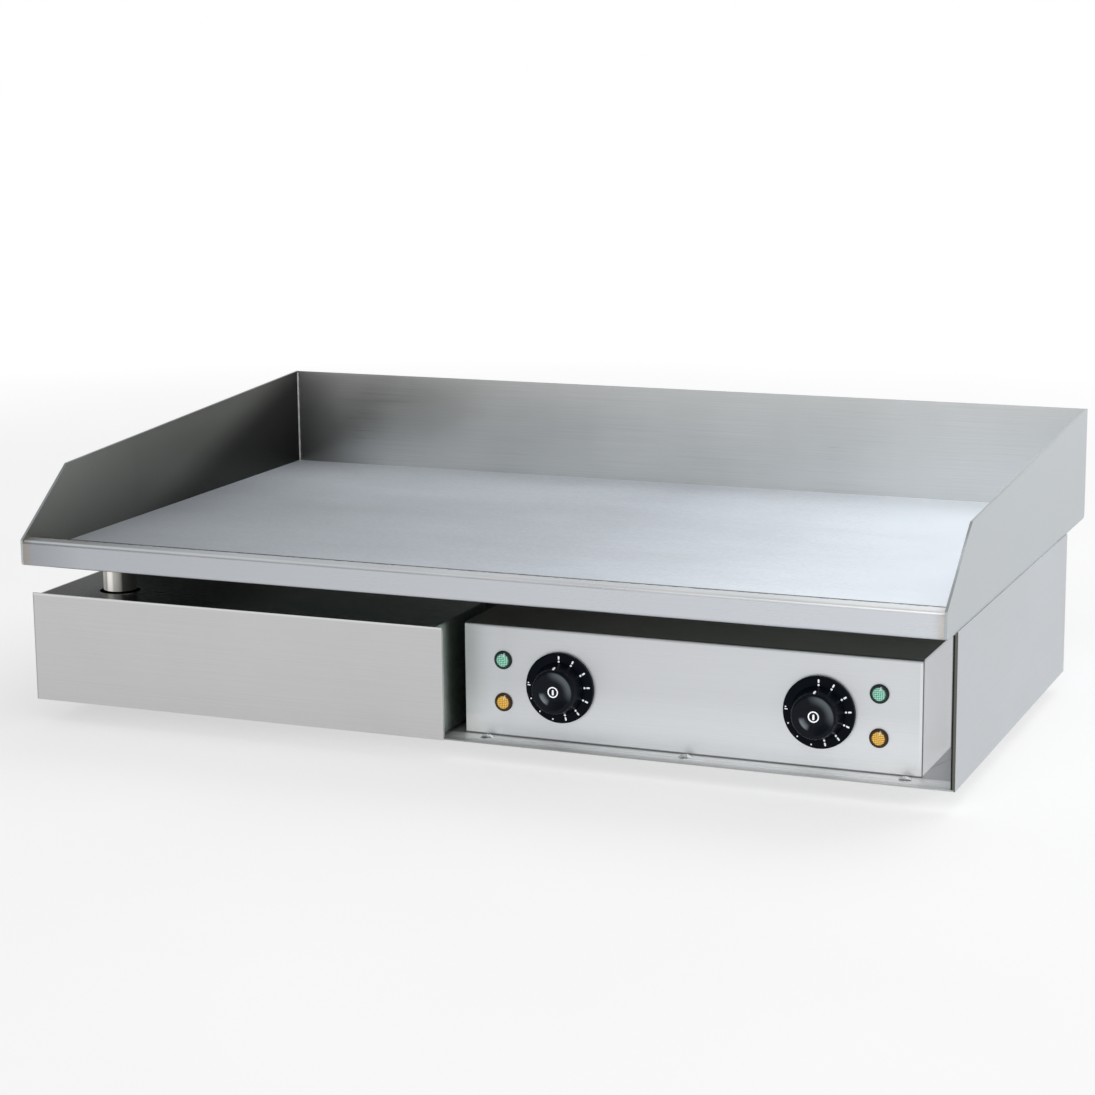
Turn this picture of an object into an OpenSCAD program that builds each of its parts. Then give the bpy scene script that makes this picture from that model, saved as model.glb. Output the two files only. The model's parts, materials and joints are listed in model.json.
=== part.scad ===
// Countertop electric griddle: steel plate in a splash-guard tray, on a sheet-metal body
// with a grease drawer at the left and a control housing at the right.
// Frame: millimetres, +Z up, front faces -Y, X to the right, origin on the counter
// under the centre of the tray.

/* [Tray] */
// Width over the splash guards
tray_w = 730; // [728:2:744]
// Depth from the front rail to the back splash
tray_d = 464; // [458:1:480]
// Thickness of the cooking plate
plate_t = 6; // [6:1:10]
// Height of the front rail
rail_h = 20; // [19:0.5:24]
// Depth of the flat lip on top of the front rail
lip_d = 16.5; // [12:0.5:18]
// Height of the side splash at its bend, above the rail's lower edge
splash_bend_h = 69.5; // [60:0.5:80]
// Height of the splash at the back, above the rail's lower edge
splash_back_h = 91; // [82:0.5:120]
// Distance of the side splash's bend from the front
splash_bend_d = 67.5; // [60:0.5:80]
// Width of the grease gutter in front of the plate
gutter_w = 45.5; // [44:0.5:50]
// Outer diameter of the drain tube
drain_d = 26; // [24:1:33]

/* [Body] */
// Height of the body between the base pan's underside and the tray
body_h = 113.5; // [112:0.5:120]
// Distance from the tray's front to the base pan's front edge
base_setback = 28; // [26:1:30]
// Distance from the tray's front to the body's back panel
body_back_d = 391; // [388:1:400]
// Height of the rubber feet
foot_h = 15; // [15:1:24]

/* [Controls] */
// Left edge of the control housing
housing_x = -12.5; // [-13:0.5:-11]
// Width of the control housing
housing_w = 349; // [346:0.5:352]
// Height of the control housing
housing_h = 84.7; // [83:0.1:86]
// Distance from the tray's front to the control panel
panel_setback = 50; // [49:0.5:52]
// Diameter of the dial scale rings
dial_d = 53; // [50:1:58]
// How far the knobs stand off the panel
knob_reach = 18; // [16:1:20]

/* [Drawer] */
// Width of the drawer front
drawer_w = 350.5; // [346:0.5:351.5]
// Height of the drawer front
drawer_h = 85.5; // [84:0.5:86.5]
// Depth of the drawer behind its front plate
drawer_d = 93.5; // [84:0.5:94]

/* [Hidden] */
$fn = 48;

// Stock
splash_t = 2;
sheet = 1.2;
rail_t = 1.5;
bend_r = 3;
flange_w = 14;
eps = 0.5;

// Levels
base_z = foot_h;
base_top = base_z + sheet;
tray_z = base_z + body_h;
plate_low = tray_z + splash_t;
plate_top = plate_low + plate_t;
rail_top = tray_z + rail_h;
gutter_low = tray_z - 2;

// Plan positions
front_y = -tray_d / 2;
back_y = tray_d / 2;
plate_front = front_y + lip_d + gutter_w;
inner_x = tray_w / 2 - splash_t;
body_x = tray_w / 2 + 1;
skin_x = body_x - sheet;
base_front = front_y + base_setback;
body_back = front_y + body_back_d;
bulkhead_y = front_y + 134;
panel_y = front_y + panel_setback;
flange_x = skin_x - flange_w;

// Screws between the panels, the base and the plate
screw_x = body_x - 10;
screw_ys = [bulkhead_y + 20, bulkhead_y + 125, body_back - 25];
cross_screw_xs = [-270, -90, 90, 270];
tap_r = 2.6;
tap_depth = 4.2;

// Feet
foot_x = 300;
foot_ys = [front_y + 118, body_back - 40];

// Heating zones, mirrored about the middle
run_count = 6;
run_pitch = 40;
run_start = bulkhead_y + 22;
run_in = 34;
run_out = 322;
sheath_r = 4;
run_z = plate_low - sheath_r - 0.1;
bar_xs = [80, 185, 290];
bar_t = 3;
bar_z = run_z - sheath_r - 0.1 - bar_t;
stud_ys = [run_start + run_pitch / 2, run_start + run_pitch * 4.5];
stud_r = 3;
shield_z = tray_z - 28.2;
insulation_t = 12.4;
nut_h = 4.8;
rear_run = run_start + (run_count - 1) * run_pitch;
bulb_y = run_start + run_pitch * 2.5;

// Controls
knob_xs = [64, 262];
knob_z = base_z + 42.4;
lamp_xs = [18.3, 305.5];
green_z = base_z + 59.4;
amber_z = base_z + 27.2;
lamp_r = 7;
rim_t = 1.6;
lens_r = 5.7;
dome_h = 1.2;
shaft_r = 3;
ring_t = 3.6;
thermostat_screw_gap = 14;
pass_xs = [40, 240];
pass_z = base_z + 70;

// Drawer
drawer_x0 = -body_x;
drawer_x1 = drawer_x0 + drawer_w;
drawer_inset = 6;
drawer_y0 = front_y + 14.5;
drawer_z0 = base_z + 3.5;
drawer_z1 = drawer_z0 + drawer_h;
drawer_sheet = 1.5;
box_x0 = drawer_x0 + drawer_inset;
box_x1 = drawer_x1 - drawer_inset;
box_y0 = drawer_y0 + drawer_sheet;
box_y1 = box_y0 + drawer_d;
box_z0 = base_z + 5;
lid_top = drawer_z1 - 0.3;
box_z1 = lid_top - sheet;
drain_x = -307;
drain_y = plate_front - drain_d / 2 - 0.5;
drain_low = lid_top + 1;

// Services at the back
gland_x = -280;
gland_z = base_z + 38;
limit_x = 190;
limit_z = base_z + 40;
bond_x = -215;
cable_r = 5;

// ---------- helpers ----------

// Box between two corners
module block(low, high) {
    translate(low) cube(high - low);
}

// Rectangle between two corners
module patch(low, high) {
    translate(low) square(high - low);
}

// Profile drawn in (Y, Z), extruded between two X positions
module along_x(x0, x1) {
    translate([x0, 0, 0]) rotate([90, 0, 90]) linear_extrude(x1 - x0) children();
}

// Local +Z points out of a panel that faces -Y, local Y points up
module out_of_front(x, y, z) {
    translate([x, y, z]) rotate([90, 0, 0]) children();
}

// Local +Z points out of a panel that faces +Y
module out_of_back(x, y, z) {
    translate([x, y, z]) rotate([-90, 0, 0]) children();
}

// Quarter of a bent sheet's corner; sx and sy pick the quadrant
module corner_bend(center, outer_r, t, sx, sy) {
    translate(center) intersection() {
        difference() {
            circle(r = outer_r);
            circle(r = outer_r - t);
        }
        translate([sx < 0 ? -outer_r : 0, sy < 0 ? -outer_r : 0]) square(outer_r);
    }
}

module mirrored(side) {
    if (side < 0) mirror([1, 0, 0]) children();
    else children();
}

// Rounded slot through a horizontal sheet, long side along X
module slot_x(x, y, z0, z1, length, width) {
    translate([x, y, z0]) linear_extrude(z1 - z0) union() {
        square([length - width, width], center = true);
        for (s = [-1, 1]) translate([s * (length - width) / 2, 0]) circle(d = width);
    }
}

// Round wire or tube through a list of points, with ball joints at the corners
module wire_path(points, r) {
    for (i = [0 : len(points) - 2]) {
        step = points[i + 1] - points[i];
        reach = norm(step);
        tilt = acos(step.z / reach);
        heading = atan2(step.y, step.x);
        translate(points[i]) rotate([0, tilt, heading]) cylinder(r = r, h = reach, $fn = 16);
        if (i > 0) translate(points[i]) sphere(r = r * 1.1, $fn = 16);
    }
}

module hex_nut(bore_r, across, h) {
    difference() {
        cylinder(d = across / cos(30), h = h, $fn = 6);
        translate([0, 0, -eps]) cylinder(r = bore_r, h = h + 2 * eps);
    }
}

// ---------- tray ----------

module side_splash_outline() {
    back_r = 5;
    difference() {
        polygon([
            [front_y, tray_z],
            [back_y, tray_z],
            [back_y, tray_z + splash_back_h],
            [front_y + splash_bend_d, tray_z + splash_bend_h],
            [front_y, rail_top]
        ]);
        difference() {
            patch([back_y - back_r, tray_z - eps], [back_y + eps, tray_z + back_r]);
            translate([back_y - back_r, tray_z + back_r]) circle(r = back_r);
        }
        difference() {
            patch([front_y - eps, tray_z - eps], [front_y + bend_r, tray_z + bend_r]);
            translate([front_y + bend_r, tray_z + bend_r]) circle(r = bend_r);
        }
    }
}

module side_splash(side) {
    color("gainsboro") mirrored(side) difference() {
        union() {
            along_x(inner_x, tray_w / 2) side_splash_outline();
            block([inner_x - flange_w, bulkhead_y, tray_z], [inner_x + eps, body_back, plate_low]);
        }
        for (y = screw_ys) translate([screw_x, y, tray_z - eps]) {
            cylinder(r = tap_r, h = splash_t + 2 * eps);
        }
    }
}

module splash_left() {
    side_splash(-1);
}

module splash_right() {
    side_splash(1);
}

module splash_back() {
    color("silver") along_x(-inner_x, inner_x) union() {
        patch([back_y - splash_t, tray_z], [back_y, tray_z + splash_back_h]);
        patch([back_y - flange_w, tray_z], [back_y - eps, plate_low]);
    }
}

module griddle_plate() {
    edge = 1.5;
    color("lightsteelblue") difference() {
        along_x(-inner_x, inner_x) polygon([
            [plate_front, plate_low],
            [back_y - splash_t, plate_low],
            [back_y - splash_t, plate_top],
            [plate_front + edge, plate_top],
            [plate_front, plate_top - edge]
        ]);
        for (side = [-1, 1], y = screw_ys) translate([side * screw_x, y, plate_low - eps]) {
            cylinder(r = tap_r, h = tap_depth + eps);
        }
        for (x = cross_screw_xs, y = [bulkhead_y + 8, body_back - 8]) {
            translate([x, y, plate_low - eps]) cylinder(r = tap_r, h = tap_depth + eps);
        }
    }
}

module front_rail() {
    lip_back = front_y + lip_d;
    color("gainsboro") along_x(-inner_x, inner_x) union() {
        patch([front_y, tray_z + bend_r], [front_y + rail_t, rail_top - bend_r]);
        corner_bend([front_y + bend_r, rail_top - bend_r], bend_r, rail_t, -1, 1);
        patch([front_y + bend_r, rail_top - rail_t], [lip_back, rail_top]);
        patch([lip_back - rail_t, gutter_low + rail_t], [lip_back, rail_top]);
        corner_bend([front_y + bend_r, tray_z + bend_r], bend_r, rail_t, -1, -1);
        patch([front_y + bend_r, tray_z], [front_y + bend_r + 5, tray_z + rail_t]);
    }
}

module grease_gutter() {
    rear = plate_front;
    color("silver") difference() {
        along_x(-inner_x, inner_x) union() {
            patch([front_y + lip_d - rail_t, gutter_low], [rear, gutter_low + rail_t]);
            patch([rear - rail_t, gutter_low], [rear, plate_low]);
            patch([rear - rail_t, plate_low - rail_t], [rear + flange_w, plate_low]);
        }
        translate([drain_x, drain_y, gutter_low - eps]) {
            cylinder(r = drain_d / 2 - rail_t, h = rail_t + 2 * eps);
        }
    }
}

module drain_tube() {
    color("whitesmoke") translate([drain_x, drain_y, 0]) difference() {
        union() {
            translate([0, 0, drain_low]) cylinder(d = drain_d, h = gutter_low - drain_low);
            translate([0, 0, gutter_low - rail_t]) cylinder(r = drain_d / 2 + 2, h = rail_t);
        }
        translate([0, 0, drain_low - eps]) {
            cylinder(r = drain_d / 2 - rail_t, h = gutter_low - drain_low + 2 * eps);
        }
    }
}

// ---------- heating ----------

module stud_places() {
    for (side = [-1, 1], x = bar_xs, y = stud_ys) translate([side * x, y, 0]) children();
}

module plate_studs() {
    low = shield_z - 6;
    color("darkgray") stud_places() translate([0, 0, low]) cylinder(r = stud_r, h = plate_low - low);
}

module stud_nuts() {
    color("goldenrod") stud_places() {
        translate([0, 0, bar_z - nut_h]) hex_nut(stud_r + 0.05, 10, nut_h);
        translate([0, 0, shield_z - nut_h]) hex_nut(stud_r + 0.05, 10, nut_h);
    }
}

// Sheathed element: straight runs along X joined by half-turn bends
module heating_element(side) {
    turn_r = run_pitch / 2;
    color("dimgray") mirrored(side) union() {
        for (i = [0 : run_count - 1]) translate([run_in, run_start + i * run_pitch, run_z]) {
            rotate([0, 90, 0]) cylinder(r = sheath_r, h = run_out - run_in);
        }
        for (i = [0 : run_count - 2]) {
            outward = i % 2 == 0;
            translate([outward ? run_out : run_in, run_start + (i + 0.5) * run_pitch, run_z]) {
                rotate([0, 0, outward ? -90 : 90]) rotate_extrude(angle = 180) {
                    translate([turn_r, 0]) circle(r = sheath_r);
                }
            }
        }
        for (i = [0, run_count - 1]) translate([14, run_start + i * run_pitch, run_z]) {
            rotate([0, 90, 0]) cylinder(r = sheath_r, h = run_in - 14);
            translate([-8, 0, 0]) rotate([0, 90, 0]) cylinder(r = 1.75, h = 8 + eps);
        }
    }
}

module heating_element_left() {
    heating_element(-1);
}

module heating_element_right() {
    heating_element(1);
}

module clamp_bars(side) {
    bar_w = 20;
    color("slategray") mirrored(side) for (x = bar_xs) difference() {
        block([x - bar_w / 2, run_start - 10, bar_z],
              [x + bar_w / 2, rear_run + 10, bar_z + bar_t]);
        for (y = stud_ys) translate([x, y, bar_z - eps]) cylinder(r = stud_r + 0.3, h = bar_t + 2 * eps);
    }
}

module clamp_bars_left() {
    clamp_bars(-1);
}

module clamp_bars_right() {
    clamp_bars(1);
}

module insulation(side) {
    color("beige") mirrored(side) difference() {
        block([20, bulkhead_y + 11, shield_z + sheet],
              [349, body_back - 10, shield_z + sheet + insulation_t]);
        for (x = bar_xs, y = stud_ys) translate([x, y, shield_z]) {
            cylinder(r = stud_r + 1, h = insulation_t + 4);
        }
    }
}

module insulation_left() {
    insulation(-1);
}

module insulation_right() {
    insulation(1);
}

module heat_shield() {
    rim = 11;
    color("silver") difference() {
        block([-352, bulkhead_y + 9, shield_z], [352, body_back - 8, shield_z + rim]);
        block([-352 + sheet, bulkhead_y + 9 + sheet, shield_z + sheet],
              [352 - sheet, body_back - 8 - sheet, shield_z + rim + eps]);
        block([-15, run_start - 8, shield_z - eps], [15, rear_run + 8, shield_z + rim]);
        stud_places() translate([0, 0, shield_z - eps]) cylinder(r = stud_r + 0.3, h = sheet + 2 * eps);
    }
}

// ---------- body ----------

// Screws that hold the panels' flanges, drawn as one pattern for holes and for screws
module base_screw_places() {
    for (side = [-1, 1], y = screw_ys) translate([side * screw_x, y, 0]) children();
    for (x = cross_screw_xs, y = [bulkhead_y + 8, body_back - 8]) translate([x, y, 0]) children();
}

module foot_places() {
    for (side = [-1, 1], y = foot_ys) translate([side * foot_x, y, 0]) children();
}

ledge_screw_xs = [housing_x + 20.5, housing_x + housing_w / 2 + 2, housing_x + housing_w - 9.5];
ledge_screw_y = panel_y - 8;

module base_pan() {
    color("silver") difference() {
        block([-skin_x, base_front, base_z], [skin_x, body_back - sheet, base_top]);
        base_screw_places() translate([0, 0, base_z - eps]) cylinder(r = tap_r, h = sheet + 2 * eps);
        foot_places() translate([0, 0, base_z - eps]) cylinder(r = 3.2, h = sheet + 2 * eps);
        for (x = ledge_screw_xs) translate([x, ledge_screw_y, base_z - eps]) {
            cylinder(r = 2.3, h = sheet + 2 * eps);
        }
        for (side = [-1, 1], i = [0 : 5]) {
            slot_x(side * 150, -60 + i * 26, base_z - eps, base_top + eps, 90, 6);
        }
    }
}

module panel_flange_holes(z, ys) {
    for (y = ys) translate([screw_x, y, z - eps]) cylinder(r = tap_r, h = sheet + 2 * eps);
}

// Side sheet with a front return and inward flanges at the bottom and the top
module side_panel(side, y0) {
    return_w = 3.4;
    color("lightgray") mirrored(side) difference() {
        union() {
            block([skin_x, y0, base_z], [body_x, body_back, tray_z]);
            block([body_x - return_w, y0, base_top], [body_x - eps, y0 + sheet, gutter_low - 0.3]);
            block([flange_x, bulkhead_y, base_top], [body_x - eps, body_back - sheet, base_top + sheet]);
            block([flange_x, bulkhead_y, tray_z - sheet], [body_x - eps, body_back - sheet, tray_z]);
        }
        panel_flange_holes(base_top, screw_ys);
        panel_flange_holes(tray_z - sheet, screw_ys);
    }
}

module side_panel_left() {
    side_panel(-1, bulkhead_y - sheet);
}

module side_panel_right() {
    side_panel(1, base_front);
}

// Upright cross panel with flanges at y_flange's side, notched round the side panels' flanges
module cross_panel(y0, flange_y0, flange_y1) {
    wide = inner_x - flange_w - 0.4;
    block([-wide, y0, base_top], [wide, y0 + sheet, plate_low]);
    block([-skin_x + 0.1, y0, base_top + sheet + 0.1],
          [skin_x - 0.1, y0 + sheet, tray_z - sheet - 0.1]);
    for (z = [base_top, plate_low - sheet]) {
        block([-wide, flange_y0, z], [wide, flange_y1, z + sheet]);
    }
}

module cross_panel_holes(y) {
    for (x = cross_screw_xs, z = [base_top, plate_low - sheet]) {
        translate([x, y, z - eps]) cylinder(r = tap_r, h = sheet + 2 * eps);
    }
}

module front_bulkhead() {
    color("darkgray") difference() {
        cross_panel(bulkhead_y, bulkhead_y, bulkhead_y + 15);
        cross_panel_holes(bulkhead_y + 8);
        for (x = pass_xs) out_of_back(x, bulkhead_y - eps, pass_z) cylinder(r = 11, h = sheet + 2 * eps);
    }
}

module back_panel() {
    y0 = body_back - sheet;
    color("silver") difference() {
        cross_panel(y0, body_back - 15, body_back);
        cross_panel_holes(body_back - 8);
        out_of_back(gland_x, y0 - eps, gland_z) cylinder(r = 10.2, h = sheet + 2 * eps);
        out_of_back(limit_x, y0 - eps, limit_z) cylinder(r = 5.2, h = sheet + 2 * eps);
        out_of_back(bond_x, y0 - eps, gland_z - 12) cylinder(r = 3.1, h = sheet + 2 * eps);
        for (i = [0 : 7], z = [58, 74]) {
            block([-70 + i * 20, y0 - eps, base_z + z], [-64 + i * 20, body_back + eps, base_z + z + 11]);
        }
    }
}

module base_stiffener() {
    t = 2;
    color("gray") difference() {
        block([ledge_screw_xs[0] - 12, ledge_screw_y - 4, base_z - t],
              [ledge_screw_xs[2] + 8, ledge_screw_y + 12, base_z]);
        for (x = ledge_screw_xs) translate([x, ledge_screw_y, base_z - t - eps]) {
            cylinder(r = 2.1, h = t + 2 * eps);
        }
    }
}

module ledge_screws() {
    color("white") for (x = ledge_screw_xs) translate([x, ledge_screw_y, 0]) {
        translate([0, 0, base_z - 2]) cylinder(r = 2, h = sheet + 2);
        translate([0, 0, base_top]) intersection() {
            translate([0, 0, -4]) sphere(r = 6.4);
            cylinder(r = 5, h = 4);
        }
    }
}

// Hexagon-head screw: head from z 0 down, shank up
module flange_screw(shank) {
    translate([0, 0, -3]) cylinder(d = 8 / cos(30), h = 3, $fn = 6);
    cylinder(r = 2.5, h = shank);
}

module panel_screws() {
    bite = 3.4;
    color("darkgray") union() {
        base_screw_places() translate([0, 0, base_z]) flange_screw(6.5);
        for (side = [-1, 1], y = screw_ys) {
            translate([side * screw_x, y, tray_z - sheet]) flange_screw(sheet + splash_t + bite);
        }
        for (x = cross_screw_xs, y = [bulkhead_y + 8, body_back - 8]) {
            translate([x, y, plate_low - sheet]) flange_screw(sheet + bite);
        }
    }
}

module panel_nuts() {
    color("gray") base_screw_places() translate([0, 0, base_top + sheet]) hex_nut(2.55, 8, 3.8);
}

module foot(side, y) {
    color("black") translate([side * foot_x, y, 0]) difference() {
        union() {
            cylinder(r1 = 17, r2 = 15, h = base_z - 3);
            translate([0, 0, base_z - 3]) cylinder(r = 15, h = 3);
        }
        translate([0, 0, -eps]) cylinder(r = 7, h = 8 + eps);
        cylinder(r = 3.2, h = base_z + eps);
    }
}

module foot_front_left() {
    foot(-1, foot_ys[0]);
}

module foot_front_right() {
    foot(1, foot_ys[0]);
}

module foot_rear_left() {
    foot(-1, foot_ys[1]);
}

module foot_rear_right() {
    foot(1, foot_ys[1]);
}

module foot_screws() {
    color("silver") foot_places() translate([0, 0, 8]) union() {
        translate([0, 0, -4]) cylinder(r = 5.5, h = 4);
        cylinder(r = 3, h = base_top + 6 - 8);
    }
}

module foot_nuts() {
    color("gray") foot_places() translate([0, 0, base_top]) hex_nut(3.05, 10, 5);
}

// ---------- drawer ----------

// Low rail that carries the drawer, with an upturned stop at the back
module drawer_runner(x) {
    run_w = 20;
    stop_y = box_y1 + 1;
    color("gray") union() {
        block([x, base_front + 3, base_top], [x + run_w, stop_y + 3, box_z0 - 0.1]);
        block([x, stop_y, base_top], [x + run_w, stop_y + 3, box_z0 + 10]);
    }
}

module drawer_runner_left() {
    drawer_runner(box_x0 + 20);
}

module drawer_runner_right() {
    drawer_runner(box_x1 - 40);
}

// Front plate with its two ends hemmed back flat
module drawer_front() {
    hem_w = 5;
    t = drawer_sheet;
    color("lightgray") union() {
        block([drawer_x0, drawer_y0, drawer_z0], [drawer_x1, drawer_y0 + t, drawer_z1]);
        for (x = [drawer_x0, drawer_x1 - hem_w]) {
            block([x, drawer_y0 + t - eps, drawer_z0 + 2], [x + hem_w, drawer_y0 + 2 * t, drawer_z1 - 2]);
        }
    }
}

module drawer_box() {
    color("gray") difference() {
        block([box_x0, box_y0, box_z0], [box_x1, box_y1, box_z1]);
        block([box_x0 + sheet, box_y0 + sheet, box_z0 + sheet],
              [box_x1 - sheet, box_y1 - sheet, box_z1 + eps]);
    }
}

// Flat cover with a locating rim inside the box and the hole that takes the grease
module drawer_lid() {
    gap = 0.6;
    rim_h = 8;
    color("darkgray") difference() {
        union() {
            block([box_x0, box_y0 + 0.1, box_z1], [box_x1, box_y1, lid_top]);
            difference() {
                block([box_x0 + sheet + gap, box_y0 + sheet + gap, box_z1 - rim_h],
                      [box_x1 - sheet - gap, box_y1 - sheet - gap, box_z1 + eps]);
                block([box_x0 + 2 * sheet + gap, box_y0 + 2 * sheet + gap, box_z1 - rim_h - eps],
                      [box_x1 - 2 * sheet - gap, box_y1 - 2 * sheet - gap, box_z1]);
            }
        }
        translate([drain_x, drain_y, box_z1 - rim_h - 1]) cylinder(r = drain_d / 2 + 3, h = rim_h + 4);
    }
}

// ---------- controls ----------

module control_housing() {
    x0 = housing_x;
    x1 = housing_x + housing_w;
    top = base_top + housing_h;
    r = 2.5;
    color("lightgray") difference() {
        union() {
            along_x(x0, x1) union() {
                patch([panel_y, base_top], [panel_y + sheet, top - r]);
                corner_bend([panel_y + r, top - r], r, sheet, -1, 1);
                patch([panel_y + r, top - sheet], [bulkhead_y, top]);
            }
            for (x = [x0, x1 - sheet]) along_x(x, x + sheet) union() {
                patch([panel_y, base_top], [bulkhead_y, top - r]);
                patch([panel_y + r, top - r - eps], [bulkhead_y, top]);
                translate([panel_y + r, top - r]) circle(r = r);
            }
            block([x0, panel_y + 20, base_top], [x0 + 12, bulkhead_y, base_top + sheet]);
            block([x1 - 12, panel_y + 20, base_top], [x1, bulkhead_y, base_top + sheet]);
        }
        for (x = knob_xs) {
            out_of_front(x, panel_y + 2, knob_z) cylinder(r = 5.2, h = 4);
            for (s = [-1, 1]) out_of_front(x + s * thermostat_screw_gap, panel_y + 2, knob_z) {
                cylinder(r = 2.1, h = 4);
            }
        }
        for (x = lamp_xs, z = [green_z, amber_z]) out_of_front(x, panel_y + 2, z) cylinder(r = 6.2, h = 4);
    }
}

// Fixed scale ring round a knob
module dial_ring(x) {
    color("black") out_of_front(x, panel_y, knob_z) difference() {
        union() {
            cylinder(d = dial_d, h = ring_t - 1);
            translate([0, 0, ring_t - 1]) cylinder(d1 = dial_d, d2 = dial_d - 2, h = 1);
        }
        translate([0, 0, -eps]) cylinder(r = 6.2, h = ring_t + 2 * eps);
    }
}

module dial_ring_left() {
    dial_ring(knob_xs[0]);
}

module dial_ring_right() {
    dial_ring(knob_xs[1]);
}

// Turned knob with a dished face, a hub through the ring and a bore for the shaft
module knob(x) {
    base_r = dial_d * 0.355;
    face_r = base_r * 0.8;
    low = ring_t + 0.5;
    dish_r = face_r * 0.86;
    dish_depth = 2.6;
    color("black") out_of_front(x, panel_y, knob_z) difference() {
        union() {
            rotate_extrude() polygon([
                [0, low], [base_r, low], [base_r, low + 2.4], [face_r + 1.2, knob_reach - 1.4],
                [face_r, knob_reach - 0.4], [face_r - 1.4, knob_reach], [dish_r, knob_reach - 0.3],
                [dish_r * 0.55, knob_reach - dish_depth * 0.8], [0, knob_reach - dish_depth]
            ]);
            translate([0, 0, 1]) cylinder(r = 5.6, h = low);
        }
        translate([0, 0, -eps]) cylinder(r = shaft_r + 0.05, h = 12 + eps);
    }
}

module knob_left() {
    knob(knob_xs[0]);
}

module knob_right() {
    knob(knob_xs[1]);
}

module thermostat_shaft(x) {
    color("silver") out_of_front(x, panel_y, knob_z) difference() {
        translate([0, 0, -12]) cylinder(r = shaft_r, h = 23.5);
        block([-shaft_r, 2.2, 3], [shaft_r, shaft_r + eps, 12]);
    }
}

module thermostat_shaft_left() {
    thermostat_shaft(knob_xs[0]);
}

module thermostat_shaft_right() {
    thermostat_shaft(knob_xs[1]);
}

// Capillary thermostat: fixing plate with two screws, switch body and terminal tabs
module thermostat(x) {
    fixing_t = 1.5;
    color("ivory") out_of_front(x, panel_y + sheet, knob_z) difference() {
        union() {
            block([-20, -12, -fixing_t], [20, 12, 0]);
            block([-17, -15, -30], [17, 15, -fixing_t]);
            for (s = [-1, 1], h = [-8, 8]) block([s * 8 - 3, h - 0.5, -38], [s * 8 + 3, h + 0.5, -30]);
            for (s = [-1, 1]) translate([s * thermostat_screw_gap, 0, -fixing_t]) {
                cylinder(r = 2, h = fixing_t + sheet);
            }
        }
        translate([0, 0, -12]) cylinder(r = shaft_r + 0.08, h = 14);
    }
}

module thermostat_left() {
    thermostat(knob_xs[0]);
}

module thermostat_right() {
    thermostat(knob_xs[1]);
}

// Sensor bulb under the plate, with its capillary to the thermostat
module sensor_bulb(side, knob_x, pass_x) {
    bulb_in = 97;
    bulb_z = plate_low - 3.1;
    low_z = bar_z - 2;
    turn_y = bulkhead_y + 5;
    port = [knob_x, panel_y + 36, knob_z + 17];
    lift = [0, 0, 1];
    color("peru") union() {
        translate([side * bulb_in, bulb_y, bulb_z]) rotate([0, side * 90, 0]) cylinder(r = 3, h = 80);
        wire_path([
            [side * bulb_in, bulb_y, bulb_z],
            [side * (bulb_in - 3), bulb_y, low_z],
            [side * (bulb_in - 3), turn_y, low_z],
            [side * (bulb_in - 3), turn_y, pass_z + 4],
            [pass_x, turn_y, pass_z + 4],
            [pass_x, bulkhead_y - 12, pass_z + 4],
            port + lift,
            port - [0, 12, 1]
        ], 1);
    }
}

module sensor_bulb_left() {
    sensor_bulb(-1, knob_xs[0], pass_xs[0]);
}

module sensor_bulb_right() {
    sensor_bulb(1, knob_xs[1], pass_xs[1]);
}

// Lens: a shallow dome that rests on the holder's rim, with a plug in its bore
module lamp_lens(x, z) {
    seat = rim_t + 0.05;
    dome_r = (lens_r * lens_r + dome_h * dome_h) / (2 * dome_h);
    out_of_front(x, panel_y, z) union() {
        translate([0, 0, -6]) cylinder(r = 5.2, h = 6 + seat + dome_h / 2);
        translate([0, 0, seat]) intersection() {
            translate([0, 0, dome_h - dome_r]) sphere(r = dome_r);
            cylinder(r = lens_r + 1, h = dome_h + 1);
        }
    }
}

module green_lens_left() {
    color("mediumaquamarine") lamp_lens(lamp_xs[0], green_z);
}

module green_lens_right() {
    color("mediumaquamarine") lamp_lens(lamp_xs[1], green_z);
}

module amber_lens_left() {
    color("orange") lamp_lens(lamp_xs[0], amber_z);
}

module amber_lens_right() {
    color("orange") lamp_lens(lamp_xs[1], amber_z);
}

// Push-in holders: front rim, sleeve through the panel and two tabs behind
module lamp_holders() {
    color("darkslategray") for (x = lamp_xs, z = [green_z, amber_z]) out_of_front(x, panel_y, z) {
        difference() {
            union() {
                cylinder(r = lamp_r, h = rim_t);
                translate([0, 0, -18]) cylinder(r = 6, h = 18 + eps);
                for (s = [-1, 1]) block([s * 3 - 1.5, -0.4, -25], [s * 3 + 1.5, 0.4, -17]);
            }
            translate([0, 0, -6]) cylinder(r = 5.3, h = 10);
        }
    }
}

// ---------- wiring and services ----------

module limit_cutout() {
    color("ivory") out_of_back(limit_x, body_back - sheet, limit_z) difference() {
        union() {
            translate([0, 0, -2]) cylinder(r = 13, h = 2);
            translate([0, 0, -20]) cylinder(r = 9, h = 18.5);
            cylinder(r = 5, h = sheet + 3);
            for (s = [-1, 1]) block([s * 5 - 2, -0.4, -27], [s * 5 + 2, 0.4, -19]);
        }
        translate([0, 0, -10]) cylinder(r = 3.2, h = 20);
    }
}

module reset_button() {
    color("red") out_of_back(limit_x, body_back - sheet, limit_z) {
        translate([0, 0, -6]) cylinder(r = 3.12, h = sheet + 3 + 6 + 2);
    }
}

block_x0 = -300;
block_y0 = body_back - 75;

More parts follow.
